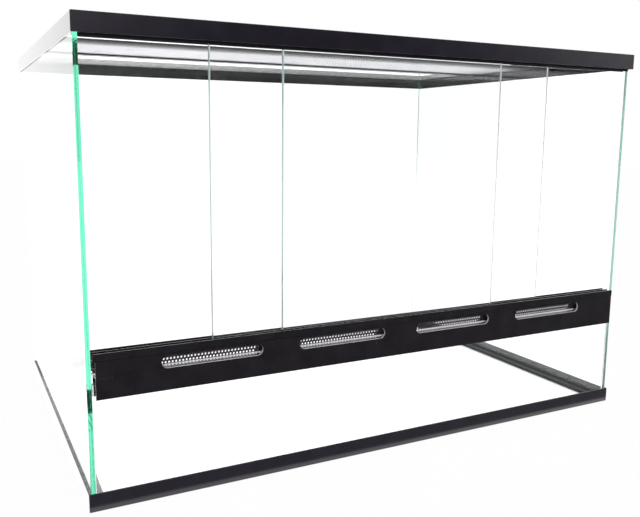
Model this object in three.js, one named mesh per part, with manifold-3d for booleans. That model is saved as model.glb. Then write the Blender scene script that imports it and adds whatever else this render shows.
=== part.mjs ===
// Glass terrarium cabinet with two sliding doors, in millimetres, +Z up, front towards -Y.
// Origin: centre of the footprint, on the plane that the base rails stand on.
import * as THREE from 'three';
import { mergeVertices } from 'three/addons/utils/BufferGeometryUtils.js';
import Module from 'manifold-3d';

const wasm = await Module();
wasm.setup();

// Glass body, over the outer faces of the panes.
const GLASS_LENGTH = 600;
const GLASS_DEPTH = 400;
const GLASS_HEIGHT = 400;
const GLASS_THICKNESS = 4;
const GLASS_ARRIS = 0.4;
// Clearance left between pieces that are bonded or laid together.
const SEAT_GAP = 0.3;

// Angle profiles of the two rims.
const RAIL_LEG = 16;
const RAIL_FOOT = 16;
const RAIL_WALL = 1.5;
const RAIL_CORNER_RADIUS = 0.9;
const RAIL_LIP_RADIUS = 0.4;
const MITRE_GAP = 0.2;
// The top rim stands this much further forward than the bottom rim.
const TOP_RIM_ADVANCE = 4.2;

// Two-groove tracks for the doors.
const TRACK_RIB = 1.5;
const DOOR_SIDE_PLAY = 0.55;
const LOWER_TRACK_WEB = 1;
const LOWER_GROOVE_DEPTH = 5.4;
const UPPER_TRACK_WEB = 1.5;
const UPPER_GROOVE_DEPTH = 10.8;
// The rear rib of the upper track ends this much above the other two.
const REAR_RIB_RISE = 1.3;
const TRACK_END_GAP = 0.6;

// Slotted profile under the lower track.
const VENT_BOTTOM = 97.5;
const VENT_HEIGHT = 32.4;
const VENT_WALL = 1.5;
const VENT_TOP_WEB = 1.5;
const VENT_SETBACK = 0.4;
// The profile is sawn this much short of the track at its left end.
const VENT_LEFT_SHORT = 2.2;
const SLOT_COUNT = 4;
const SLOT_LENGTH = 92.7;
const SLOT_HEIGHT = 10.5;
const SLOT_PITCH = 129.4;
const SLOT_RISE = 19.4;
const SLOT_ROW_OFFSET = 2;
const SLOT_SEGMENTS = 12;
const FACE_LINE_RISE = 17.8;
const FACE_LINE_WIDTH = 0.6;
const FACE_LINE_DEPTH = 0.3;

// Perforated strip inside the slotted profile.
const STRIP_THICKNESS = 1;
// The strip fills the profile's hollow to the left end of the track, and ends short of it at the right.
const STRIP_RIGHT_INSET = 5;
const STRIP_HOLE = 4;
const STRIP_HOLE_PITCH = 8.2;
const STRIP_ROW_PITCH = 5;

// Ceiling.
const FRONT_STRIP_DEPTH = 112.7;
const REAR_STRIP_DEPTH = 135.7;
const CHANNEL_DEPTH = 12;
const CHANNEL_WALL = 1;
const MESH_THICKNESS = 1;
const MESH_SIDE_GAP = 0.6;
const MESH_HOLE = 16;
const MESH_HOLE_PITCH = 26;
const MESH_ROW_PITCH = 23;
const MESH_MARGIN = 6;

// Fixed pane under the slotted profile.
const LOWER_PANE_HEIGHT = 108.2;

// Sliding doors.
const DOOR_WIDTH = 309;
const DOOR_FLOOR_PLAY = 0.3;
const DOOR_TOP_HOLD = 4.3;
const FRONT_DOOR_OPEN = 103.8;
const REAR_DOOR_OPEN = 173;

// Silicone seams.
const SEAM_LEG = 5;
const SEAM_HOLLOW = 0.9;
const CEILING_SEAM_LEG = 4;
const BED_RISE = 1;

// Planes that follow from the sizes above.
const rimOffset = RAIL_WALL + SEAT_GAP;
const outerX = GLASS_LENGTH / 2 + rimOffset;
const outerDepth = GLASS_DEPTH + 2 * rimOffset + TOP_RIM_ADVANCE;
const topFrontY = -outerDepth / 2;
const backY = outerDepth / 2;
const baseFrontY = topFrontY + TOP_RIM_ADVANCE;
const glassX = GLASS_LENGTH / 2;
const innerX = glassX - GLASS_THICKNESS;
const seatX = innerX - SEAT_GAP;
const glassFrontY = baseFrontY + rimOffset;
const glassBackY = backY - rimOffset;
const glassBottomZ = rimOffset;
const glassTopZ = glassBottomZ + GLASS_HEIGHT;
const outerTopZ = glassTopZ + rimOffset;
const floorTopZ = glassBottomZ + GLASS_THICKNESS;
const ceilingZ = glassTopZ - GLASS_THICKNESS;
const backInnerY = glassBackY - GLASS_THICKNESS;
const lowerInnerY = glassFrontY + GLASS_THICKNESS;

const grooveWidth = GLASS_THICKNESS + 2 * DOOR_SIDE_PLAY;
const trackDepth = 3 * TRACK_RIB + 2 * grooveWidth;
const trackFrontY = topFrontY + RAIL_WALL + SEAT_GAP;
const trackBackY = trackFrontY + trackDepth;
const trackX = innerX - TRACK_END_GAP;
const frontDoorY = trackFrontY + TRACK_RIB + grooveWidth / 2;
const rearDoorY = frontDoorY + grooveWidth + TRACK_RIB;

const ventTopZ = VENT_BOTTOM + VENT_HEIGHT;
const lowerTrackZ = ventTopZ + SEAT_GAP;
const lowerGrooveZ = lowerTrackZ + LOWER_TRACK_WEB;
const lowerTrackTopZ = lowerGrooveZ + LOWER_GROOVE_DEPTH;
const upperTrackTopZ = ceilingZ - SEAT_GAP;
const upperTrackZ = upperTrackTopZ - UPPER_TRACK_WEB - UPPER_GROOVE_DEPTH;
const ventFrontY = trackFrontY + VENT_SETBACK;
const slotZ = VENT_BOTTOM + SLOT_RISE;
const ventHollowZ = slotZ - SEAT_GAP;
const ventHollowTopZ = ventTopZ - VENT_TOP_WEB;
const slotX = (index) => SLOT_ROW_OFFSET + (index - (SLOT_COUNT - 1) / 2) * SLOT_PITCH;

// Materials.
const finish = (color, roughness, metalness, opacity = 1) => () => new THREE.MeshStandardMaterial({
  color, roughness, metalness, opacity, transparent: opacity < 1,
});
const glass = finish(0xcfe8de, 0.05, 0, 0.3);
const darkMetal = finish(0x2b2a2f, 0.4, 0.6);
const sheetMetal = finish(0xb9b9bc, 0.35, 0.9);
const silicone = finish(0xc9cccd, 0.5, 0, 0.8);

const cabinet = new THREE.Group();
cabinet.name = 'terrarium_cabinet';

function addNode(name, geometry, material) {
  const mesh = new THREE.Mesh(geometry, material());
  mesh.name = name;
  cabinet.add(mesh);
  return mesh;
}

function outline(points) {
  return new THREE.Shape(points.map(([u, v]) => new THREE.Vector2(u, v)));
}

function extrude(points, length, bevel = {}) {
  return new THREE.ExtrudeGeometry(outline(points), { depth: length, bevelEnabled: false, steps: 1, ...bevel });
}

// A section in (y, z) drawn out from x0 to x1.
function alongX(points, x0, x1) {
  const geometry = extrude(points, x1 - x0);
  geometry.applyMatrix4(new THREE.Matrix4().set(0, 0, 1, x0, 1, 0, 0, 0, 0, 1, 0, 0, 0, 0, 0, 1));
  return geometry;
}

// A section in (x, z) drawn out from y0 to y1.
function alongY(points, y0, y1) {
  const geometry = extrude(points, y1 - y0);
  geometry.applyMatrix4(new THREE.Matrix4().set(1, 0, 0, 0, 0, 0, -1, y1, 0, 1, 0, 0, 0, 0, 0, 1));
  return geometry;
}

// A section in (x, y) drawn out from z0 to z1.
function alongZ(points, z0, z1) {
  const geometry = extrude(points, z1 - z0);
  geometry.translate(0, 0, z0);
  return geometry;
}

function rectangle(u0, u1, v0, v1) {
  return [[u0, v0], [u1, v0], [u1, v1], [u0, v1]];
}

// A pane with ground arrises round both faces; its face is drawn in the first two axes.
function paneShape(width, height) {
  return extrude(rectangle(0, width, 0, height), GLASS_THICKNESS - 2 * GLASS_ARRIS, {
    bevelEnabled: true,
    bevelThickness: GLASS_ARRIS,
    bevelSize: GLASS_ARRIS,
    bevelOffset: -GLASS_ARRIS,
    bevelSegments: 1,
  });
}

function levelPane(name, x0, x1, y0, y1, z0) {
  const geometry = paneShape(x1 - x0, y1 - y0);
  geometry.translate(x0, y0, z0 + GLASS_ARRIS);
  return addNode(name, geometry, glass);
}

function frontPane(name, x0, x1, y0, z0, z1) {
  const geometry = paneShape(x1 - x0, z1 - z0);
  geometry.rotateX(Math.PI / 2);
  geometry.translate(x0, y0 + GLASS_THICKNESS - GLASS_ARRIS, z0);
  return addNode(name, geometry, glass);
}

function sidePane(name, x0, y0, y1, z0, z1) {
  const geometry = paneShape(y1 - y0, z1 - z0);
  geometry.applyMatrix4(new THREE.Matrix4().set(
    0, 0, 1, x0 + GLASS_ARRIS,
    1, 0, 0, y0,
    0, 1, 0, z0,
    0, 0, 0, 1,
  ));
  return addNode(name, geometry, glass);
}

// Points of a rounded corner at (u, v), turning from angle a0 to a1 about its own centre.
function corner(u, v, radius, a0, a1, segments) {
  const points = [];
  for (let i = 0; i <= segments; i += 1) {
    const angle = ((a0 + ((a1 - a0) * i) / segments) * Math.PI) / 180;
    points.push([u + radius * Math.cos(angle), v + radius * Math.sin(angle)]);
  }
  return points;
}

function toManifold(geometry) {
  const bare = geometry.clone();
  bare.deleteAttribute('normal');
  bare.deleteAttribute('uv');
  const welded = mergeVertices(bare, 1e-4);
  return new wasm.Manifold(new wasm.Mesh({
    numProp: 3,
    vertProperties: new Float32Array(welded.attributes.position.array),
    triVerts: new Uint32Array(welded.index.array),
  }));
}

function fromManifold(solid) {
  const mesh = solid.getMesh();
  const geometry = new THREE.BufferGeometry();
  geometry.setAttribute('position', new THREE.BufferAttribute(new Float32Array(mesh.vertProperties), 3));
  geometry.setIndex(new THREE.BufferAttribute(new Uint32Array(mesh.triVerts), 1));
  const split = geometry.toNonIndexed();
  split.computeVertexNormals();
  return split;
}

// Glass panes.
levelPane('floor_pane', -seatX, seatX, lowerInnerY + SEAT_GAP, backInnerY - SEAT_GAP, glassBottomZ);
sidePane('left_pane', -glassX, glassFrontY, glassBackY, glassBottomZ, glassTopZ);
sidePane('right_pane', innerX, glassFrontY, glassBackY, glassBottomZ, glassTopZ);
frontPane('back_pane', -seatX, seatX, backInnerY, glassBottomZ, ceilingZ - SEAT_GAP);
frontPane('lower_front_pane', -seatX, seatX, glassFrontY, glassBottomZ, glassBottomZ + LOWER_PANE_HEIGHT);
const frontStripY = glassFrontY + FRONT_STRIP_DEPTH;
const rearStripY = glassBackY - REAR_STRIP_DEPTH;
levelPane('top_front_strip', -seatX, seatX, glassFrontY, frontStripY, ceilingZ);
levelPane('top_rear_strip', -seatX, seatX, rearStripY, glassBackY, ceilingZ);

// Sliding doors, both drawn part-way open.
const doorBottomZ = lowerGrooveZ + DOOR_FLOOR_PLAY;
const doorTopZ = upperTrackZ + DOOR_TOP_HOLD;
function door(name, open, middleY) {
  const left = -innerX + open;
  return frontPane(name, left, left + DOOR_WIDTH, middleY - GLASS_THICKNESS / 2, doorBottomZ, doorTopZ);
}
door('front_door', FRONT_DOOR_OPEN, frontDoorY);
door('rear_door', REAR_DOOR_OPEN, rearDoorY);

// Angle section: d runs inward from the outer face, h from the outer edge of the rim.
const railSection = [
  ...corner(RAIL_CORNER_RADIUS, RAIL_CORNER_RADIUS, RAIL_CORNER_RADIUS, 180, 270, 3),
  ...corner(RAIL_FOOT - RAIL_LIP_RADIUS, RAIL_LIP_RADIUS, RAIL_LIP_RADIUS, 270, 360, 1),
  [RAIL_FOOT, RAIL_WALL],
  [RAIL_WALL, RAIL_WALL],
  [RAIL_WALL, RAIL_LEG],
  ...corner(RAIL_LIP_RADIUS, RAIL_LEG - RAIL_LIP_RADIUS, RAIL_LIP_RADIUS, 90, 180, 1),
];

// One rail with mitred ends, drawn along x with its outer face on y = 0.
function mitredRail(length, atTop) {
  const geometry = alongX(railSection, -length / 2, length / 2);
  const place = geometry.attributes.position;
  for (let i = 0; i < place.count; i += 1) {
    const inward = place.getY(i) + MITRE_GAP / 2;
    const along = place.getX(i);
    place.setX(i, along > 0 ? along - inward : along + inward);
  }
  if (atTop) {
    // Turning the rail over about its length swaps its two faces, so it is turned end for end as well.
    geometry.rotateX(Math.PI);
    geometry.rotateZ(Math.PI);
    geometry.translate(0, 0, outerTopZ);
  }
  geometry.computeVertexNormals();
  return geometry;
}

function rim(prefix, frontY, atTop) {
  const depth = backY - frontY;
  const middleY = (backY + frontY) / 2;
  const sides = [
    ['front', 2 * outerX, 0, 0, frontY],
    ['right', depth, 90, outerX, middleY],
    ['back', 2 * outerX, 180, 0, backY],
    ['left', depth, 270, -outerX, middleY],
  ];
  for (const [side, length, turn, x, y] of sides) {
    const geometry = mitredRail(length, atTop);
    geometry.rotateZ((turn * Math.PI) / 180);
    geometry.translate(x, y, 0);
    addNode(`${prefix}_${side}`, geometry, darkMetal);
  }
}
rim('base_rail', baseFrontY, false);
rim('top_rail', topFrontY, true);

// A track: three ribs on a web, of which the rear one may end at a height of its own.
function trackSection(webZ, webTopZ, ribZ, rearRibZ) {
  const ribs = [0, 1, 2].map((index) => trackFrontY + index * (TRACK_RIB + grooveWidth));
  return [
    [trackFrontY, webZ], [trackBackY, webZ],
    [trackBackY, rearRibZ], [ribs[2], rearRibZ], [ribs[2], webTopZ],
    [ribs[1] + TRACK_RIB, webTopZ], [ribs[1] + TRACK_RIB, ribZ], [ribs[1], ribZ], [ribs[1], webTopZ],
    [ribs[0] + TRACK_RIB, webTopZ], [ribs[0] + TRACK_RIB, ribZ], [trackFrontY, ribZ],
  ];
}
const lowerSection = trackSection(lowerTrackZ, lowerGrooveZ, lowerTrackTopZ, lowerTrackTopZ);
addNode('lower_track', alongX(lowerSection, -trackX, trackX), darkMetal);
const upperWebZ = upperTrackTopZ - UPPER_TRACK_WEB;
const upperSection = trackSection(upperTrackTopZ, upperWebZ, upperTrackZ, upperTrackZ + REAR_RIB_RISE);
addNode('upper_track', alongX(upperSection, -trackX, trackX), darkMetal);

// Slotted profile: a hollow box over two skirts that take the top of the lower pane.
const lineZ = VENT_BOTTOM + FACE_LINE_RISE;
const ventBackInnerY = trackBackY - VENT_WALL;
const ventFrontInnerY = ventFrontY + VENT_WALL;
const ventWebZ = ventHollowZ - VENT_WALL;
const ventOuter = [
  [ventFrontY, VENT_BOTTOM], [ventFrontInnerY, VENT_BOTTOM],
  [ventFrontInnerY, ventWebZ], [ventBackInnerY, ventWebZ],
  [ventBackInnerY, VENT_BOTTOM], [trackBackY, VENT_BOTTOM],
  [trackBackY, ventTopZ], [ventFrontY, ventTopZ],
  [ventFrontY, lineZ + FACE_LINE_WIDTH / 2],
  [ventFrontY + FACE_LINE_DEPTH, lineZ],
  [ventFrontY, lineZ - FACE_LINE_WIDTH / 2],
];
const ventHollow = rectangle(ventFrontInnerY, ventBackInnerY, ventHollowZ, ventHollowTopZ);

function slotOutline(index) {
  const radius = SLOT_HEIGHT / 2;
  const middleZ = slotZ + radius;
  const reach = SLOT_LENGTH / 2 - radius;
  return [
    ...corner(slotX(index) + reach, middleZ, radius, -90, 90, SLOT_SEGMENTS),
    ...corner(slotX(index) - reach, middleZ, radius, 90, 270, SLOT_SEGMENTS),
  ];
}

const ventLeftX = VENT_LEFT_SHORT - trackX;
let ventSolid = toManifold(alongX(ventOuter, ventLeftX, trackX));
ventSolid = ventSolid.subtract(toManifold(alongX(ventHollow, -outerX, outerX)));
for (let index = 0; index < SLOT_COUNT; index += 1) {
  const cutter = alongY(slotOutline(index), ventFrontY - RAIL_LEG, trackBackY + RAIL_LEG);
  ventSolid = ventSolid.subtract(toManifold(cutter));
}
addNode('vent_rail', fromManifold(ventSolid), darkMetal);

// A sheet with six-sided holes, drawn in its own plane.
function perforated(edge, holes, diameter, thickness) {
  const shape = outline(edge);
  for (const [u, v] of holes) {
    const points = corner(u, v, diameter / 2, 0, 300, 5);
    shape.holes.push(new THREE.Path(points.map(([a, b]) => new THREE.Vector2(a, b))));
  }
  return new THREE.ExtrudeGeometry(shape, { depth: thickness, bevelEnabled: false, steps: 1 });
}

// Perforated strip: two staggered rows of holes behind each slot.
const stripY = (ventFrontY + trackBackY - STRIP_THICKNESS) / 2;
const stripRowZ = slotZ + SLOT_HEIGHT / 2;
const stripHoles = [];
for (let index = 0; index < SLOT_COUNT; index += 1) {
  for (const [row, side] of [[0, -1], [1, 1]]) {
    const reach = SLOT_LENGTH / 2 - STRIP_HOLE;
    const count = Math.floor((2 * reach) / STRIP_HOLE_PITCH - row * 0.5);
    for (let i = 0; i <= count; i += 1) {
      const u = slotX(index) + (i - count / 2) * STRIP_HOLE_PITCH;
      stripHoles.push([u, stripRowZ + (side * STRIP_ROW_PITCH) / 2]);
    }
  }
}
const stripRightX = trackX - STRIP_RIGHT_INSET;
const stripEdge = rectangle(-trackX, stripRightX, ventHollowZ + SEAT_GAP, ventHollowTopZ - SEAT_GAP);
const stripSheet = perforated(stripEdge, stripHoles, STRIP_HOLE, STRIP_THICKNESS);
stripSheet.rotateX(Math.PI / 2);
stripSheet.translate(0, stripY + STRIP_THICKNESS, 0);
addNode('vent_mesh_strip', stripSheet, sheetMetal);

// Channels that hold the ceiling's perforated sheet between the two glass strips.
function channelSection(outerY, inward) {
  const tip = outerY + inward * CHANNEL_DEPTH;
  const web = outerY + inward * CHANNEL_WALL;
  const low = ceilingZ + CHANNEL_WALL;
  const high = glassTopZ - CHANNEL_WALL;
  return [
    [outerY, ceilingZ], [tip, ceilingZ], [tip, low], [web, low],
    [web, high], [tip, high], [tip, glassTopZ], [outerY, glassTopZ],
  ];
}
const channelFrontY = frontStripY + SEAT_GAP;
const channelRearY = rearStripY - SEAT_GAP;
addNode('mesh_channel_front', alongX(channelSection(channelFrontY, 1), -seatX, seatX), darkMetal);
addNode('mesh_channel_rear', alongX(channelSection(channelRearY, -1), -seatX, seatX), darkMetal);

const meshX = innerX - MESH_SIDE_GAP;
const meshFrontY = channelFrontY + CHANNEL_WALL + SEAT_GAP;
const meshRearY = channelRearY - CHANNEL_WALL - SEAT_GAP;
const meshZ = (ceilingZ + glassTopZ - MESH_THICKNESS) / 2;
const openFrontY = channelFrontY + CHANNEL_DEPTH + MESH_MARGIN + MESH_HOLE / 2;
const openRearY = channelRearY - CHANNEL_DEPTH - MESH_MARGIN - MESH_HOLE / 2;
const openX = outerX - RAIL_FOOT - MESH_MARGIN - MESH_HOLE / 2;
const meshHoles = [];
const meshRows = Math.floor((openRearY - openFrontY) / MESH_ROW_PITCH);
for (let row = 0; row <= meshRows; row += 1) {
  const v = (openFrontY + openRearY) / 2 + (row - meshRows / 2) * MESH_ROW_PITCH;
  const count = Math.floor((2 * openX) / MESH_HOLE_PITCH) - (row % 2);
  for (let i = 0; i <= count; i += 1) {
    meshHoles.push([(i - count / 2) * MESH_HOLE_PITCH, v]);
  }
}
const meshSheet = perforated(rectangle(-meshX, meshX, meshFrontY, meshRearY), meshHoles, MESH_HOLE, MESH_THICKNESS);
meshSheet.translate(0, 0, meshZ);
addNode('top_mesh_panel', meshSheet, sheetMetal);

// A seam in the corner at (u, v): the two signs say which way it reaches, and its face is hollowed.
function seamSection(u, v, signU, signV, leg) {
  const gap = SEAT_GAP;
  const points = [[gap, gap], [gap + leg, gap]];
  for (const part of [0.25, 0.5, 0.75]) {
    const dip = SEAM_HOLLOW * 4 * part * (1 - part) * Math.SQRT1_2;
    points.push([gap + leg * (1 - part) - dip, gap + leg * part - dip]);
  }
  points.push([gap, gap + leg]);
  return points.map(([a, b]) => [u + signU * a, v + signV * b]);
}

const seamTopZ = ceilingZ - SEAM_LEG - 2 * SEAT_GAP;
const seamBottomZ = floorTopZ + SEAM_LEG + 2 * SEAT_GAP;
const seamEndX = innerX - SEAM_LEG - 2 * SEAT_GAP;
const sides = [['left', -1], ['right', 1]];
for (const [side, sign] of sides) {
  const rear = seamSection(sign * innerX, backInnerY, -sign, -1, SEAM_LEG);
  addNode(`seam_rear_${side}`, alongZ(rear, seamBottomZ, seamTopZ), silicone);
  const floor = seamSection(sign * innerX, floorTopZ, -sign, 1, SEAM_LEG);
  addNode(`seam_floor_${side}`, alongY(floor, lowerInnerY + SEAT_GAP, backInnerY - SEAT_GAP), silicone);
  const lower = seamSection(sign * innerX, lowerInnerY, -sign, 1, SEAM_LEG);
  addNode(`seam_lower_${side}`, alongZ(lower, seamBottomZ, VENT_BOTTOM - SEAT_GAP), silicone);
  const bar = seamSection(sign * innerX, trackBackY, -sign, 1, SEAM_LEG);
  addNode(`seam_bar_${side}`, alongZ(bar, VENT_BOTTOM, ventTopZ), silicone);
  const ceiling = seamSection(sign * innerX, ceilingZ, -sign, -1, CEILING_SEAM_LEG);
  addNode(`seam_ceiling_front_${side}`, alongY(ceiling, trackBackY + SEAT_GAP, frontStripY), silicone);
  addNode(`seam_ceiling_rear_${side}`, alongY(ceiling, rearStripY, backInnerY - SEAT_GAP), silicone);
}
addNode('seam_floor_front', alongX(seamSection(lowerInnerY, floorTopZ, 1, 1, SEAM_LEG), -seamEndX, seamEndX), silicone);
addNode('seam_floor_rear', alongX(seamSection(backInnerY, floorTopZ, -1, 1, SEAM_LEG), -seamEndX, seamEndX), silicone);
const backCeiling = seamSection(backInnerY, ceilingZ, -1, -1, CEILING_SEAM_LEG);
addNode('seam_ceiling_back', alongX(backCeiling, -seamEndX, seamEndX), silicone);

// Silicone bed between the skirts of the slotted profile and the lower pane.
const bedZ = VENT_BOTTOM + BED_RISE;
const bedTopZ = glassBottomZ + LOWER_PANE_HEIGHT;
const frontBed = rectangle(ventFrontInnerY + SEAT_GAP, glassFrontY - SEAT_GAP, bedZ, bedTopZ);
addNode('seam_bar_front', alongX(frontBed, ventLeftX, trackX), silicone);
const rearBed = rectangle(lowerInnerY + SEAT_GAP, ventBackInnerY - SEAT_GAP, bedZ, bedTopZ);
addNode('seam_bar_rear', alongX(rearBed, ventLeftX, trackX), silicone);

export default cabinet;
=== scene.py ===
import math

import bpy
import bmesh
from mathutils import Matrix, Vector


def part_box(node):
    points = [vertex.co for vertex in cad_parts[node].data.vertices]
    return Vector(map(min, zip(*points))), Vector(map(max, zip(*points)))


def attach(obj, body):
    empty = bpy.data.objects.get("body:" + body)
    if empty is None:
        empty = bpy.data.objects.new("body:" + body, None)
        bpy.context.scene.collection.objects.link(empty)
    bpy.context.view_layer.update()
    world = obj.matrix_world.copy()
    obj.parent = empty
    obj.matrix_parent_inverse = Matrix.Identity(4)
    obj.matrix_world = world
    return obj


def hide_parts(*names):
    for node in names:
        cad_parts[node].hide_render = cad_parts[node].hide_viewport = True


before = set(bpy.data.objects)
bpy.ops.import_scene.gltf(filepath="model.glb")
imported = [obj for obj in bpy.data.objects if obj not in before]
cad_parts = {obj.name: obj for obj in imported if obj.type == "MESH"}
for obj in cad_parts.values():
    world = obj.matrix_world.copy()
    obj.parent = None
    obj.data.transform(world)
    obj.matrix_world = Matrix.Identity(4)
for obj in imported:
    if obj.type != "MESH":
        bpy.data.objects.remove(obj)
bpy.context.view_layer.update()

# Base rim: four aluminium angles, dyed and anodised, mitred at the corners.
# Their legs stand outside the panes and their feet lie under them.
MM = 0.001
RAIL_EDGE_RADIUS = 0.25 * MM
EDGE_SEGMENTS = 2
DOUBLES_WITHIN = 0.01 * MM
FLAT_WITHIN = math.radians(1.0)
EASED_ABOVE = math.radians(40.0)
SMOOTH_BELOW = math.radians(50.0)
RIM_BLACK = (0.0060, 0.0046, 0.0095, 1.0)
RIM_BLACK_WORN = (0.0110, 0.0088, 0.0165, 1.0)
RIM_GLOSS = (0.12, 0.22)
RIM_MIRROR = 0.12
SEALED_COAT = {"Coat Weight": 1.0, "Coat IOR": 1.5, "Coat Roughness": 0.10}
OXIDE_IOR = 1.5
OXIDE_SHEEN = (0.95, 0.88, 1.0, 1.0)
LINES_ALONG = 6.0
LINES_ACROSS = 900.0
LINES_DETAIL = 3.0
LINES_STRENGTH = 0.2
LINES_DEPTH = 0.02 * MM
MARKS_SCALE = 55.0
MARKS_DETAIL = 6.0
DARK_UP_TO = 0.35
WORN_FROM = 0.75


def feed(tree, node, values):
    """Each named socket of the node is set to its number or colour, or linked to the socket given."""
    for name, value in values.items():
        socket = node.inputs[name]
        if isinstance(value, bpy.types.NodeSocket):
            tree.links.new(value, socket)
        else:
            socket.default_value = value


def add(tree, kind, values):
    node = tree.nodes.new(kind)
    feed(tree, node, values)
    return node


def new_finish(name):
    """A fresh material, with its node tree, its shader and the places that its pattern can follow."""
    material = bpy.data.materials.new(name)
    material.use_nodes = True
    tree = material.node_tree
    place = tree.nodes.new("ShaderNodeTexCoord").outputs
    return material, tree, tree.nodes["Principled BSDF"], place


def grain(tree, vector, scale, detail):
    noise = {"Vector": vector, "Scale": scale, "Detail": detail}
    return add(tree, "ShaderNodeTexNoise", noise).outputs["Fac"]


def ramp(tree, value, levels, between=(0.0, 1.0), way="LINEAR"):
    """The first level up to the one place, the second from the other on, and a slope between them."""
    ends = {"From Min": between[0], "From Max": between[1], "To Min": levels[0], "To Max": levels[1]}
    node = add(tree, "ShaderNodeMapRange", ends)
    node.interpolation_type = way
    feed(tree, node, {"Value": value})
    return node.outputs["Result"]


def two_tones(tree, value, first_up_to, first, second_from, second):
    """A blend of two colours: the first up to one value, the second from another on."""
    node = add(tree, "ShaderNodeValToRGB", {"Fac": value})
    start, end = node.color_ramp.elements
    start.position, start.color = first_up_to, first
    end.position, end.color = second_from, second
    return node.outputs["Color"]


def relief(tree, height, strength, depth):
    bump = {"Height": height, "Strength": strength, "Distance": depth}
    return add(tree, "ShaderNodeBump", bump).outputs["Normal"]


def anodised_finish(name, along, dark, worn, gloss, mirror):
    """Dyed oxide on an extruded profile: fine draw lines along its length, and faint handling marks."""
    material, tree, surface, place = new_finish(name)
    lines = tuple(LINES_ALONG if axis == along else LINES_ACROSS for axis in "xyz")
    stretch = add(tree, "ShaderNodeMapping", {"Vector": place["Object"], "Scale": lines})
    draw_lines = grain(tree, stretch.outputs["Vector"], 1.0, LINES_DETAIL)
    marks = grain(tree, place["Object"], MARKS_SCALE, MARKS_DETAIL)
    oxide = {
        "IOR": OXIDE_IOR,
        "Specular IOR Level": mirror,
        "Specular Tint": OXIDE_SHEEN,
        "Base Color": two_tones(tree, marks, DARK_UP_TO, dark, WORN_FROM, worn),
        "Roughness": ramp(tree, marks, gloss),
        "Normal": relief(tree, draw_lines, LINES_STRENGTH, LINES_DEPTH),
    }
    feed(tree, surface, oxide)
    return material


def rim_finish(name, along):
    """The rims are sealed after dyeing, which leaves a thin clear coat that turns pale at a low angle."""
    material = anodised_finish(name, along, RIM_BLACK, RIM_BLACK_WORN, RIM_GLOSS, RIM_MIRROR)
    feed(material.node_tree, material.node_tree.nodes["Principled BSDF"], SEALED_COAT)
    return material


def deselect_all():
    bpy.ops.object.select_all(action="DESELECT")


def eased_piece(node, name, radius, material):
    """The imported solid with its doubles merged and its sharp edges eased, standing for the node."""
    deselect_all()
    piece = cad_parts[node].copy()
    piece.data = piece.data.copy()
    piece.name = name
    piece.parent = None
    piece.matrix_world = Matrix.Identity(4)
    bpy.context.collection.objects.link(piece)
    piece.select_set(True)
    bpy.context.view_layer.objects.active = piece
    bpy.ops.object.mode_set(mode="EDIT")
    bpy.ops.mesh.select_all(action="SELECT")
    bpy.ops.mesh.customdata_custom_splitnormals_clear()
    bpy.ops.mesh.remove_doubles(threshold=DOUBLES_WITHIN)
    bpy.ops.mesh.dissolve_limited(angle_limit=FLAT_WITHIN)
    bpy.ops.object.mode_set(mode="OBJECT")
    ease = piece.modifiers.new("eased edges", "BEVEL")
    ease.width = radius
    ease.segments = EDGE_SEGMENTS
    ease.limit_method = "ANGLE"
    ease.angle_limit = EASED_ABOVE
    bpy.ops.object.modifier_apply(modifier=ease.name)
    bpy.ops.object.shade_smooth_by_angle(angle=SMOOTH_BELOW)
    flat = piece.modifiers.new("flat broad faces", "WEIGHTED_NORMAL")
    flat.keep_sharp = True
    bpy.ops.object.modifier_apply(modifier=flat.name)
    piece.data.materials.clear()
    piece.data.materials.append(material)
    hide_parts(node)
    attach(piece, "cabinet")
    return piece


rim_along_x = rim_finish("sealed rim across", "x")
rim_along_y = rim_finish("sealed rim deep", "y")
rim_finishes = {"front": rim_along_x, "back": rim_along_x, "left": rim_along_y, "right": rim_along_y}


def lay_rim(level):
    for side, finish in rim_finishes.items():
        eased_piece(f"{level}_rail_{side}", f"{level}_angle_{side}", RAIL_EDGE_RADIUS, finish)


lay_rim("base")

# Fixed panes: 4 mm float glass, cut to size, with the arrises ground by hand.
# They are bonded edge to edge inside the rims, so the ground edges catch the light.
WHITE = (1.0, 1.0, 1.0, 1.0)
GLASS_IRON_GREEN = (0.10, 0.93, 0.70, 1.0)
GLASS_ABSORPTION = 2.5
GLASS_IOR = 1.5
POLISHED_ABOVE = 0.95
POLISHED_ROUGHNESS = 0.0
GRIT_SCALE = 700.0
GRIT_DETAIL = 4.0
LEFT_EDGE_GREEN = (0.41, 0.80, 0.65, 1.0)
LEFT_GRIND = (0.02, 0.08)
RIGHT_EDGE_GREEN = (0.86, 0.70, 0.74, 1.0)
RIGHT_GRIND = (0.35, 0.50)
FROSTED_EDGE_GREEN = (0.86, 0.98, 0.95, 1.0)
FROSTED_GRIND = (0.10, 0.25)
MIX_SOCKETS = {"FLOAT": (2, 3, 0), "RGBA": (6, 7, 2)}


def part_of(tree, vector, axis):
    return add(tree, "ShaderNodeSeparateXYZ", {"Vector": vector}).outputs[axis.upper()]


def maths(tree, operation, *values):
    node = add(tree, "ShaderNodeMath", dict(enumerate(values)))
    node.operation = operation
    return node.outputs["Value"]


def blend(tree, kind, share, first, second):
    """The first number or colour where the share is 0, and the second where it is 1."""
    first_input, second_input, output = MIX_SOCKETS[kind]
    node = tree.nodes.new("ShaderNodeMix")
    node.data_type = kind
    feed(tree, node, {"Factor": share, first_input: first, second_input: second})
    return node.outputs[output]


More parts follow.
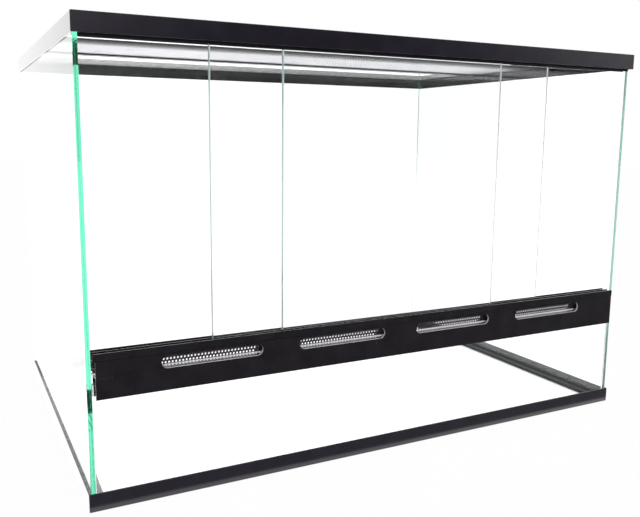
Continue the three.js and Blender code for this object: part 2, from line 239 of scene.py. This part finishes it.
def float_glass(name, thin_axis, edge_tint, grind, depth_tint=GLASS_IRON_GREEN):
    """Polished on its two faces and ground on its edges, with the green of iron in the depth."""
    material, tree, surface, place = new_finish(name)
    facing = maths(tree, "ABSOLUTE", part_of(tree, place["Normal"], thin_axis))
    polished = maths(tree, "GREATER_THAN", facing, POLISHED_ABOVE)
    ground = ramp(tree, grain(tree, place["Object"], GRIT_SCALE, GRIT_DETAIL), grind)
    glass = {
        "Transmission Weight": 1.0,
        "IOR": GLASS_IOR,
        "Roughness": blend(tree, "FLOAT", polished, ground, POLISHED_ROUGHNESS),
        "Base Color": blend(tree, "RGBA", polished, edge_tint, WHITE),
    }
    feed(tree, surface, glass)
    iron = add(tree, "ShaderNodeVolumeAbsorption", {"Color": depth_tint, "Density": GLASS_ABSORPTION})
    feed(tree, tree.nodes["Material Output"], {"Volume": iron.outputs["Volume"]})
    return material


def dress(node, material):
    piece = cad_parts[node]
    piece.data.materials.clear()
    piece.data.materials.append(material)


left_glass = float_glass("float glass left", "x", LEFT_EDGE_GREEN, LEFT_GRIND)
right_glass = float_glass("float glass right", "x", RIGHT_EDGE_GREEN, RIGHT_GRIND)
front_glass = float_glass("float glass front", "y", FROSTED_EDGE_GREEN, FROSTED_GRIND)
level_glass = float_glass("float glass level", "z", FROSTED_EDGE_GREEN, FROSTED_GRIND)
dress("left_pane", left_glass)
dress("right_pane", right_glass)
for pane in ("back_pane", "lower_front_pane"):
    dress(pane, front_glass)
dress("floor_pane", level_glass)

# Silicone seams: clear beads run into the inner corners and smoothed with a wet finger.
# They are bonded to the glass with no air between, so they hardly bend the light.
SILICONE_CLEAR = (0.98, 0.985, 0.98, 1.0)
SILICONE_IOR = 1.015
SILICONE_HAZE = (0.01, 0.08)
SMEAR_SCALE = 120.0
SMEAR_DETAIL = 5.0
RIPPLE_STRENGTH = 0.1
RIPPLE_DEPTH = 0.2 * MM
SEAM_PLACES = ("rear", "floor", "lower", "bar", "ceiling_front", "ceiling_rear")
silicone, tree, surface, place = new_finish("clear silicone")
smear = grain(tree, place["Object"], SMEAR_SCALE, SMEAR_DETAIL)
bead = {
    "Base Color": SILICONE_CLEAR,
    "Transmission Weight": 1.0,
    "IOR": SILICONE_IOR,
    "Roughness": ramp(tree, smear, SILICONE_HAZE),
    "Normal": relief(tree, smear, RIPPLE_STRENGTH, RIPPLE_DEPTH),
}
feed(tree, surface, bead)
seams = [f"seam_{where}_{side}" for where in SEAM_PLACES for side in ("left", "right")]
seams += ["seam_floor_front", "seam_floor_rear", "seam_ceiling_back", "seam_bar_front", "seam_bar_rear"]
for seam in seams:
    dress(seam, silicone)

# Slotted profile over the lower pane, with the double track on top of it.
# The slots were punched after anodising, so their cut edges are bare metal.
PROFILE_BLACK = (0.0062, 0.0054, 0.0070, 1.0)
PROFILE_BLACK_WORN = (0.0120, 0.0105, 0.0130, 1.0)
PROFILE_GLOSS = (0.16, 0.28)
PROFILE_MIRROR = 0.3
PROFILE_EDGE_RADIUS = 0.15 * MM
TRACK_EDGE_RADIUS = 0.2 * MM
SLOT_LOW = 116.75 * MM
SLOT_HIGH = 127.55 * MM
SLOT_WALL = 1.45 * MM
WALL_FACE_ABOVE = 0.9
BARE_ALUMINIUM = (0.92, 0.89, 0.93, 1.0)
BARE_METAL_SHARE = 0.5
BARE_GLOSS = (0.25, 0.50)
TEAR_SCALE = 1500.0
TEAR_DETAIL = 2.0
profile_black = anodised_finish(
    "anodised profile", "x", PROFILE_BLACK, PROFILE_BLACK_WORN, PROFILE_GLOSS, PROFILE_MIRROR
)
bare_cut_edge, tree, surface, place = new_finish("bare cut edge")
tear = grain(tree, place["Object"], TEAR_SCALE, TEAR_DETAIL)
cut = {
    "Metallic": BARE_METAL_SHARE,
    "Base Color": BARE_ALUMINIUM,
    "Roughness": ramp(tree, tear, BARE_GLOSS),
}
feed(tree, surface, cut)
vent = eased_piece("vent_rail", "slotted_profile", PROFILE_EDGE_RADIUS, profile_black)
vent.data.materials.append(bare_cut_edge)
vent_low, vent_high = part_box("vent_rail")
for face in vent.data.polygons:
    middle = face.center
    in_front_wall = middle.y - vent_low[1] < SLOT_WALL and abs(face.normal.y) < WALL_FACE_ABOVE
    inside_ends = abs(middle.x) < vent_high[0] - SLOT_WALL
    if SLOT_LOW < middle.z < SLOT_HIGH and in_front_wall and inside_ends:
        face.material_index = 1
eased_piece("lower_track", "lower_double_track", TRACK_EDGE_RADIUS, profile_black)

# Perforated strip in the hollow of the slotted profile: bare sheet with fine holes in staggered rows.
# It was cut from a larger sheet, so holes are cut through at its ends.
STRIP_PITCH = 3.1 * MM
STRIP_ROW_PITCH = 3.1 * MM
STRIP_HOLE = 2.1 * MM
STRIP_COLUMNS = 196
STRIP_ROWS = 5
STRIP_THICKNESS = 0.8 * MM
STRIP_MIDDLE = 121.55 * MM
ROUNDED_HALF = 300.0 * MM
ROUNDING = 0.116 * STRIP_HOLE
CUT_WITHIN = 0.001 * MM
KNOTS_WITHIN = 0.005 * MM
# Painted shade tones for the strip's upper part, and a painted lit tone for its lower band.
STRIP_SHADE_DARK = (0.038, 0.035, 0.040, 1.0)
STRIP_SHADE_GREY = (0.070, 0.065, 0.072, 1.0)
STRIP_PAINTED_LIT = (0.92, 0.87, 0.92, 1.0)
STRIP_GLOSS = (0.30, 0.45)
STRIP_MIRROR = 0.3
STRIP_METAL_SHARE = 0.45
PAINTED_LIT_BELOW = 118.3 * MM
PAINTED_SHADE_ABOVE = 119.0 * MM
CLOUD_SCALE = 35.0
CLOUD_DETAIL = 6.0
DULL_UP_TO = 0.3
BRIGHT_FROM = 0.7


def rolled_sheet(name, dull, bright, gloss):
    """Thin rolled sheet clouded by its oxide, and the tones that each sheet lays its own painted light
    and shade over.
    """
    material, tree, surface, place = new_finish(name)
    cloud = grain(tree, place["Object"], CLOUD_SCALE, CLOUD_DETAIL)
    feed(tree, surface, {"Roughness": ramp(tree, cloud, gloss)})
    tones = two_tones(tree, cloud, DULL_UP_TO, dull, BRIGHT_FROM, bright)
    return material, tree, surface, place, tones


def perforated_sheet(name, columns, rows, pitch, row_pitch, hole):
    """A level sheet centred on the origin: a triangular net whose knots are punched out as holes."""
    deselect_all()
    bpy.ops.mesh.primitive_grid_add(x_subdivisions=columns, y_subdivisions=rows, size=1.0)
    sheet = bpy.context.active_object
    sheet.name = name
    bpy.ops.object.mode_set(mode="EDIT")
    bpy.ops.transform.resize(value=(columns * pitch, rows * row_pitch, 1.0))
    bpy.ops.mesh.select_all(action="DESELECT")
    mesh = bmesh.from_edit_mesh(sheet.data)
    for knot in mesh.verts:
        knot.select_set(round(knot.co.y / row_pitch + rows / 2.0) % 2 == 1)
    bmesh.update_edit_mesh(sheet.data)
    bpy.ops.transform.translate(value=(pitch / 2.0, 0.0, 0.0))
    bpy.ops.mesh.select_all(action="SELECT")
    bpy.ops.transform.translate(value=(-pitch / 4.0, 0.0, 0.0))
    bpy.ops.mesh.quads_convert_to_tris(quad_method="SHORTEST_DIAGONAL")
    bpy.ops.mesh.bevel(offset_type="OFFSET", offset=hole / 4.0, segments=1, affect="EDGES")
    return sheet


def punch_holes():
    bpy.ops.mesh.select_mode(type="FACE")
    bpy.ops.mesh.select_all(action="DESELECT")
    bpy.ops.mesh.select_face_by_sides(number=6, type="EQUAL", extend=False)
    bpy.ops.mesh.delete(type="FACE")


def raise_to_thickness(thickness):
    bpy.ops.mesh.select_all(action="SELECT")
    bpy.ops.mesh.remove_doubles(threshold=KNOTS_WITHIN)
    bpy.ops.mesh.extrude_region_move(TRANSFORM_OT_translate={"value": (0.0, 0.0, thickness)})
    bpy.ops.mesh.select_all(action="SELECT")
    bpy.ops.mesh.normals_make_consistent(inside=False)
    bpy.ops.object.mode_set(mode="OBJECT")


def stand_for(piece, node, material):
    """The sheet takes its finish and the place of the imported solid."""
    piece.data.materials.append(material)
    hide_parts(node)
    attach(piece, "cabinet")


strip_low, strip_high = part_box("vent_mesh_strip")
strip = perforated_sheet(
    "perforated_strip", STRIP_COLUMNS, STRIP_ROWS, STRIP_PITCH, STRIP_ROW_PITCH, STRIP_HOLE
)
punch_holes()
bpy.ops.mesh.select_mode(type="VERT")
mesh = bmesh.from_edit_mesh(strip.data)
outer_row = (STRIP_ROWS - 0.5) / 2.0 * STRIP_ROW_PITCH
for vert in mesh.verts:
    within = abs(vert.co.y) < outer_row and abs(vert.co.x) < ROUNDED_HALF
    vert.select_set(vert.is_boundary and within)
bmesh.update_edit_mesh(strip.data)
bpy.ops.mesh.bevel(offset_type="OFFSET", offset=ROUNDING, segments=1, affect="VERTICES")
for cut_at, outward in (
    ((strip_low[0], 0.0, 0.0), (-1.0, 0.0, 0.0)),
    ((strip_high[0], 0.0, 0.0), (1.0, 0.0, 0.0)),
    ((0.0, strip_low[2] - STRIP_MIDDLE, 0.0), (0.0, -1.0, 0.0)),
    ((0.0, strip_high[2] - STRIP_MIDDLE, 0.0), (0.0, 1.0, 0.0)),
):
    bpy.ops.mesh.select_all(action="SELECT")
    bpy.ops.mesh.bisect(plane_co=cut_at, plane_no=outward, clear_outer=True, threshold=CUT_WITHIN)
raise_to_thickness(STRIP_THICKNESS)
strip.data.transform(
    Matrix.Translation((0.0, strip_low[1] + STRIP_THICKNESS, STRIP_MIDDLE))
    @ Matrix.Rotation(math.pi / 2.0, 4, "X")
)
# Painted light and shade: below a level line the strip is painted pale and less metallic, standing in for
# the lamp's light through the slot. Above the line it is painted dark, standing in for the shade under
# the slot's upper wall.
strip_painted_light, tree, surface, place, tones = rolled_sheet(
    "rolled sheet strip", STRIP_SHADE_DARK, STRIP_SHADE_GREY, STRIP_GLOSS
)
painted_shade_share = ramp(tree, part_of(tree, place["Object"], "z"), (0.0, 1.0), (PAINTED_LIT_BELOW, PAINTED_SHADE_ABOVE))
painted_light_and_shade = {
    "Specular IOR Level": STRIP_MIRROR,
    "Base Color": blend(tree, "RGBA", painted_shade_share, STRIP_PAINTED_LIT, tones),
    "Metallic": maths(tree, "MULTIPLY", painted_shade_share, STRIP_METAL_SHARE),
}
feed(tree, surface, painted_light_and_shade)
stand_for(strip, "vent_mesh_strip", strip_painted_light)

# Ceiling: two strips of glass, each with a slim channel on its inner edge.
# The perforated sheet lies in the two channels, with a plain edge all round.
CHANNEL_EDGE_RADIUS = 0.15 * MM
MATT_GLOSS = (0.55, 0.70)
MATT_MIRROR = 0.1
PANEL_PITCH = 3.6 * MM
PANEL_ROW_PITCH = PANEL_PITCH * math.sqrt(3.0) / 2.0
PANEL_HOLE = 2.4 * MM
PANEL_COLUMNS = 160
PANEL_ROWS = 43
END_KNOTS_WITHIN = 0.6 * PANEL_PITCH
SIDE_KNOTS_WITHIN = 0.1 * PANEL_HOLE
PANEL_DULL = (0.88, 0.88, 0.90, 1.0)
PANEL_BRIGHT = (0.97, 0.96, 0.98, 1.0)
PANEL_GLOSS = (0.22, 0.38)
PANEL_METAL_SHARE = 0.9
# Painted shade near the panel's front edge, and how deep into the panel it reaches.
PANEL_PAINTED_SHADE = (0.02, 0.02, 0.022, 1.0)
PAINTED_SHADE_DEPTH = 62.0 * MM
FACING_UP_ABOVE = 0.5
for pane in ("top_front_strip", "top_rear_strip"):
    dress(pane, level_glass)
matt_black = anodised_finish(
    "matt channel", "x", PROFILE_BLACK, PROFILE_BLACK_WORN, MATT_GLOSS, MATT_MIRROR
)
for side, black in (("front", matt_black), ("rear", profile_black)):
    name = f"sheet_channel_{side}"
    eased_piece(f"mesh_channel_{side}", name, CHANNEL_EDGE_RADIUS, black)
panel_low, panel_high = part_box("top_mesh_panel")
panel_half = (panel_high[0] - panel_low[0]) / 2.0, (panel_high[1] - panel_low[1]) / 2.0
panel = perforated_sheet(
    "perforated_ceiling", PANEL_COLUMNS, PANEL_ROWS, PANEL_PITCH, PANEL_ROW_PITCH, PANEL_HOLE
)
bpy.ops.mesh.select_mode(type="EDGE")
mesh = bmesh.from_edit_mesh(panel.data)
net_half = max(vert.co.x for vert in mesh.verts), max(vert.co.y for vert in mesh.verts)
for edge in mesh.edges:
    edge.select_set(edge.is_boundary)
bmesh.update_edit_mesh(panel.data)
bpy.ops.mesh.extrude_edges_move()
mesh = bmesh.from_edit_mesh(panel.data)
for vert in mesh.verts:
    if vert.select and abs(vert.co.x) > net_half[0] - END_KNOTS_WITHIN:
        vert.co.x = math.copysign(panel_half[0], vert.co.x)
    if vert.select and abs(vert.co.y) > net_half[1] - SIDE_KNOTS_WITHIN:
        vert.co.y = math.copysign(panel_half[1], vert.co.y)
bmesh.update_edit_mesh(panel.data)
punch_holes()
raise_to_thickness(panel_high[2] - panel_low[2])
panel.data.transform(Matrix.Translation((0.0, (panel_low[1] + panel_high[1]) / 2.0, panel_low[2])))
shaded, tree, surface, place, tones = rolled_sheet(
    "rolled sheet ceiling", PANEL_DULL, PANEL_BRIGHT, PANEL_GLOSS
)
# Painted shade: the underside of the sheet is darker towards its front edge, in its colour and in its
# reflection tint, standing in for the shade near the front channel. Its upper face is left unshaded.
painted_shade_stretch = (panel_low[1], panel_low[1] + PAINTED_SHADE_DEPTH)
out_of_shade = ramp(tree, part_of(tree, place["Object"], "y"), (0.0, 1.0), painted_shade_stretch)
upper_face = maths(tree, "GREATER_THAN", part_of(tree, place["Normal"], "z"), FACING_UP_ABOVE)
shade_free_share = maths(tree, "MAXIMUM", maths(tree, "MULTIPLY", out_of_shade, out_of_shade), upper_face)
shaded_tones = blend(tree, "RGBA", shade_free_share, PANEL_PAINTED_SHADE, tones)
feed(tree, surface, {"Metallic": PANEL_METAL_SHARE, "Base Color": shaded_tones, "Specular Tint": shaded_tones})
stand_for(panel, "top_mesh_panel", shaded)

# Top rim: four more angles of the same metal, dyed, sealed and mitred as the base rim is.
# The deep double track is fixed behind its front leg and guides the upper edges of the doors.
lay_rim("top")
eased_piece("upper_track", "upper_double_track", TRACK_EDGE_RADIUS, matt_black)

# Sliding doors: two panes of float glass, with their edges ground to a white frost all round.
# Each stands in a groove of its own in the two tracks, and slides from one side pane to the other.
DOOR_EDGE_WHITE = (1.0, 1.0, 1.0, 1.0)
DOOR_GRIND = (0.30, 0.45)
DOOR_DEPTH_CYAN = (0.55, 0.985, 0.985, 1.0)
door_glass = float_glass("float glass door", "y", DOOR_EDGE_WHITE, DOOR_GRIND, DOOR_DEPTH_CYAN)
for door in ("front_door", "rear_door"):
    dress(door, door_glass)

# Studio: a pale floor and a white surround, brighter behind the cabinet than in front of it.
# Mirrored rays meet less light from the room behind the camera, the left and the top, and rays
# through the glass less from the upper right. A lamp of strength pi lights a white face to white.
FLOOR_SIZE = 12.0
FLOOR_PLACE = (0.0, 2.0, -0.5 * MM)
FLOOR_PAINT = (0.92, 0.92, 0.92, 1.0)
FLOOR_WHITE_SHARE = 0.93
FLOOR_FRONT_EDGE = (-0.2135, -0.2045)
FLOOR_LEFT_CORNER = (-0.50, -0.30)
DIFFUSE_LEVEL = 0.35
SEEN_LEVEL = 1.0
THROUGH_LEVEL = 1.3
THROUGH_TOP_LEVEL = 2.4
THROUGH_TOP_RIGHT_LEVEL = 0.2
THROUGH_TOP_FADE = (0.084, 0.096)
THROUGH_RIGHT_FADE = (0.45, 0.68)
MIRRORED_LEVEL = 1.5
MIRRORED_BACK_LEFT_LEVEL = 1.23
MIRRORED_LEFT_SHARE = 0.15
MIRRORED_LEFT_FADE = (-0.62, -0.38)
MIRRORED_TOP_SHARE = 0.45
MIRRORED_TOP_FADE = (0.30, 0.70)
FRONT_LEVEL = 0.8
FRONT_FADE = (0.0, 0.7)
DARK_ROOM_LEVEL = 0.12
DARK_ROOM_FADE = (0.90, 1.0)
DARK_ROOM_DIRECTION = (0.454, -0.891, 0.0)
DARK_FLOOR_LEVEL = 0.30
BACK_LEFT_FADE = (0.80, 0.97)
BACK_LEFT_DIRECTION = (-0.20, 0.98, 0.0)
MIRRORED_ONCE = 0.5
LAMP_DIRECTION = (-0.15, -0.64, 0.74)
LAMP_SPREAD = math.radians(16.0)
LAMP_SHARE = 0.80


def fade(tree, value, between, levels):
    return ramp(tree, value, levels, between, "SMOOTHSTEP")


def surround_level(tree, through_glass, mirrored):
    """The brightness that each kind of ray meets: scattered, seen, gone through glass, or mirrored."""
    path = tree.nodes.new("ShaderNodeLightPath").outputs
    reflected = maths(tree, "GREATER_THAN", path["Glossy Depth"], MIRRORED_ONCE)
    direct = maths(tree, "SUBTRACT", 1.0, reflected)
    through = maths(tree, "MULTIPLY", path["Is Transmission Ray"], direct)
    level = maths(tree, "MULTIPLY", path["Is Camera Ray"], SEEN_LEVEL - DIFFUSE_LEVEL)
    for share, brightness in ((through, through_glass), (reflected, mirrored)):
        extra = maths(tree, "SUBTRACT", brightness, DIFFUSE_LEVEL)
        level = maths(tree, "ADD", level, maths(tree, "MULTIPLY", share, extra))
    return maths(tree, "ADD", level, DIFFUSE_LEVEL)


def facing_share(tree, ray, direction):
    """How far a ray points in the direction given: 1 along it, and 0 at right angles."""
    node = add(tree, "ShaderNodeVectorMath", {0: ray, 1: direction})
    node.operation = "DOT_PRODUCT"
    return node.outputs["Value"]


deselect_all()
bpy.ops.mesh.primitive_plane_add(size=FLOOR_SIZE, location=FLOOR_PLACE)
floor = bpy.context.active_object
floor.name = "studio_floor"
floor_paint = bpy.data.materials.new("pale floor")
floor_paint.use_nodes = True
tree = floor_paint.node_tree
tree.nodes.clear()
point = tree.nodes.new("ShaderNodeNewGeometry").outputs["Position"]
in_front = fade(tree, part_of(tree, point, "y"), FLOOR_FRONT_EDGE, (1.0, 0.0))
right_of_corner = fade(tree, part_of(tree, point, "x"), FLOOR_LEFT_CORNER, (0.0, 1.0))
darkness = maths(tree, "MULTIPLY", in_front, right_of_corner)
mirrored = fade(tree, darkness, (0.0, 1.0), (MIRRORED_LEVEL, DARK_FLOOR_LEVEL))
path = tree.nodes.new("ShaderNodeLightPath").outputs
unseen_white = maths(tree, "MAXIMUM", path["Is Glossy Ray"], path["Is Transmission Ray"])
seen_white = maths(tree, "MULTIPLY", path["Is Camera Ray"], FLOOR_WHITE_SHARE)
strength = surround_level(tree, THROUGH_LEVEL, mirrored)
white = add(tree, "ShaderNodeEmission", {"Strength": strength})
matt = add(tree, "ShaderNodeBsdfDiffuse", {"Color": FLOOR_PAINT})
white_share = maths(tree, "MAXIMUM", seen_white, unseen_white)
coats = {"Fac": white_share, 1: matt.outputs["BSDF"], 2: white.outputs["Emission"]}
paint = add(tree, "ShaderNodeMixShader", coats)
add(tree, "ShaderNodeOutputMaterial", {"Surface": paint.outputs["Shader"]})
floor.data.materials.append(floor_paint)

world = bpy.data.worlds.new("white surround")
bpy.context.scene.world = world
world.use_nodes = True
tree = world.node_tree
ray = tree.nodes.new("ShaderNodeNewGeometry").outputs["Position"]
to_right = part_of(tree, ray, "x")
upward = part_of(tree, ray, "z")
to_room = facing_share(tree, ray, DARK_ROOM_DIRECTION)
to_back_left = facing_share(tree, ray, BACK_LEFT_DIRECTION)
front_half = fade(tree, to_room, FRONT_FADE, (MIRRORED_LEVEL, FRONT_LEVEL))
room = fade(tree, to_room, DARK_ROOM_FADE, (0.0, FRONT_LEVEL - DARK_ROOM_LEVEL))
back_left = fade(tree, to_back_left, BACK_LEFT_FADE, (0.0, MIRRORED_LEVEL - MIRRORED_BACK_LEFT_LEVEL))
mirrored = maths(tree, "SUBTRACT", maths(tree, "SUBTRACT", front_half, room), back_left)
left_share = fade(tree, to_right, MIRRORED_LEFT_FADE, (MIRRORED_LEFT_SHARE, 1.0))
top_share = fade(tree, upward, MIRRORED_TOP_FADE, (1.0, MIRRORED_TOP_SHARE))
mirrored = maths(tree, "MULTIPLY", maths(tree, "MULTIPLY", mirrored, left_share), top_share)
top_level = fade(tree, to_right, THROUGH_RIGHT_FADE, (THROUGH_TOP_LEVEL, THROUGH_TOP_RIGHT_LEVEL))
to_top = fade(tree, upward, THROUGH_TOP_FADE, (0.0, 1.0))
top_extra = maths(tree, "MULTIPLY", to_top, maths(tree, "SUBTRACT", top_level, THROUGH_LEVEL))
through_glass = maths(tree, "ADD", top_extra, THROUGH_LEVEL)
strength = surround_level(tree, through_glass, mirrored)
feed(tree, tree.nodes["Background"], {"Color": WHITE, "Strength": strength})

light = bpy.data.lights.new("front lamp", "SUN")
light.angle = LAMP_SPREAD
light.energy = LAMP_SHARE * math.pi
lamp = bpy.data.objects.new("front lamp", light)
bpy.context.collection.objects.link(lamp)
lamp.rotation_euler = Vector(LAMP_DIRECTION).to_track_quat("Z", "Y").to_euler()

# Camera: the photograph's viewpoint, to the left in front of the cabinet and below its top rim.
# The shift sets the lens axis on its pixel in the photograph, and rays may cross many panes.
CAMERA_PLACE = Vector((-0.39211, -0.77942, 0.31165))
CAMERA_TURN = math.radians(26.618)
CAMERA_DIP = math.radians(8.868)
CAMERA_ROLL = math.radians(0.405)
FOCAL_PIXELS = 721.46
AXIS_PIXEL = (306.88, 248.69)
IMAGE_SIZE = (640.0, 517.0)
SENSOR_WIDTH = 36.0
NEAREST_SEEN = 10.0 * MM
RAY_BOUNCES = 96
view = bpy.data.cameras.new("photograph view")
view.sensor_fit = "HORIZONTAL"
view.sensor_width = SENSOR_WIDTH
view.lens = FOCAL_PIXELS / IMAGE_SIZE[0] * SENSOR_WIDTH
view.shift_x = (IMAGE_SIZE[0] / 2 - AXIS_PIXEL[0]) / IMAGE_SIZE[0]
view.shift_y = (AXIS_PIXEL[1] - IMAGE_SIZE[1] / 2) / IMAGE_SIZE[0]
view.clip_start = NEAREST_SEEN
camera = bpy.data.objects.new("photograph camera", view)
bpy.context.collection.objects.link(camera)
camera.matrix_world = (
    Matrix.Translation(CAMERA_PLACE)
    @ Matrix.Rotation(-CAMERA_TURN, 4, "Z")
    @ Matrix.Rotation(math.pi / 2 - CAMERA_DIP, 4, "X")
    @ Matrix.Rotation(CAMERA_ROLL, 4, "Z")
)
scene = bpy.context.scene
scene.camera = camera
scene.view_settings.view_transform = "Standard"
scene.cycles.max_bounces = RAY_BOUNCES
scene.cycles.transmission_bounces = RAY_BOUNCES
scene.cycles.glossy_bounces = RAY_BOUNCES
